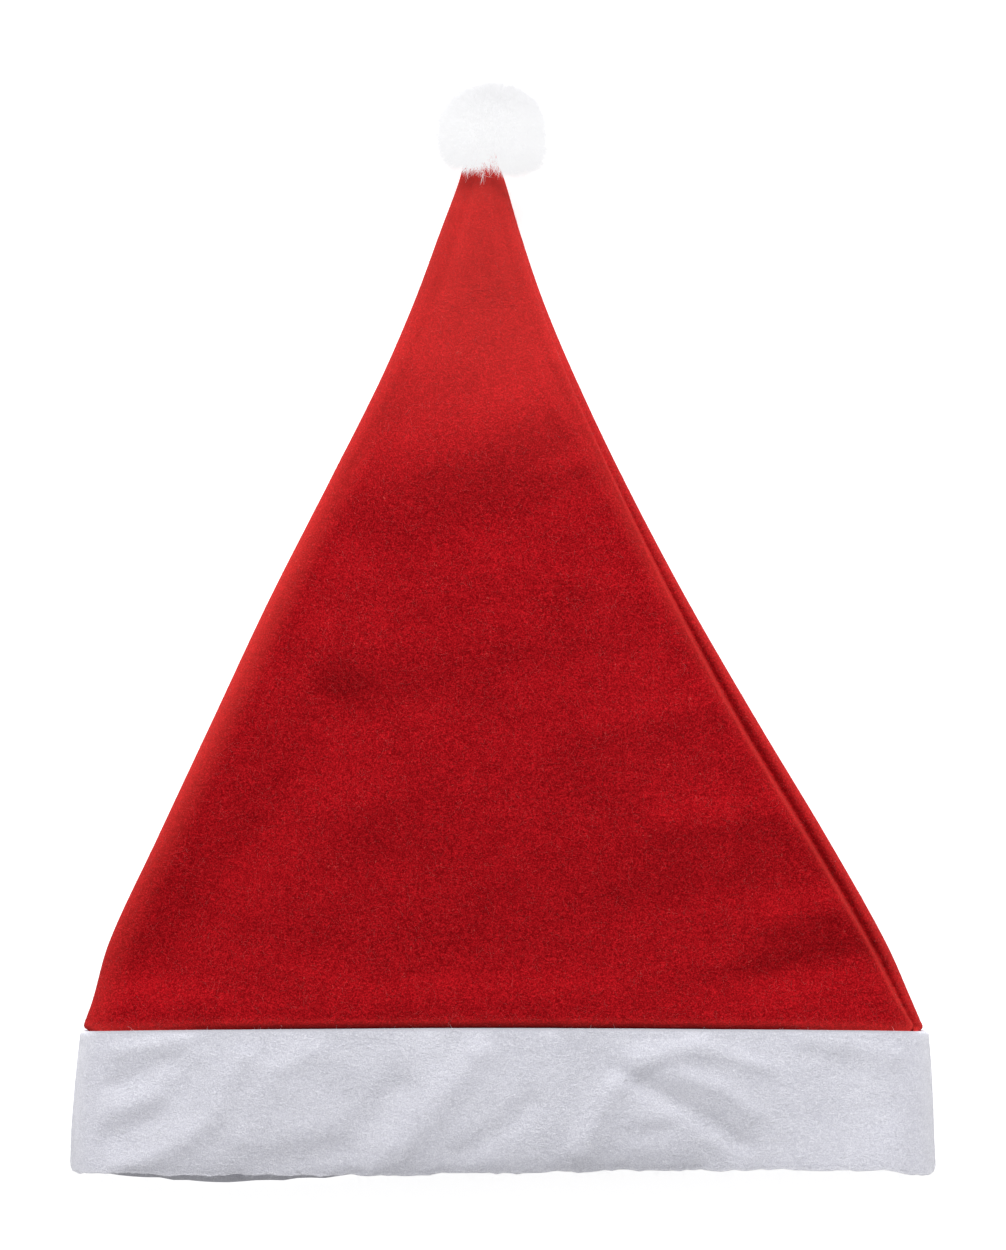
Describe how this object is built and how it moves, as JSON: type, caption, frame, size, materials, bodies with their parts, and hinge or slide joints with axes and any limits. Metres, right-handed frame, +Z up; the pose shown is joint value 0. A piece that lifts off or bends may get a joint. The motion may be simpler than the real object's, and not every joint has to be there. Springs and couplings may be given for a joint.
{
  "type": "santa hat",
  "caption": "Cone-shaped felt party hat lying flat, with a turned felt band round its open mouth and a fluffy pompom on its tip.",
  "frame": {"origin": "middle of the footprint, on the surface that the hat lies on", "axes": "+Y from the mouth to the pompom, +X along the band towards the crown's side seam, +Z up out of the surface"},
  "size_m": [0.29, 0.3658, 0.0315],
  "materials": {
    "red_felt": "matt needled felt with short loose fibres",
    "white_felt": "matt needled felt with short loose fibres",
    "white_fluff": "long soft fluff"
  },
  "bodies": {
    "root": {"crown": "red_felt", "band": "white_felt", "pompom": "white_fluff"}
  },
  "joints": []
}
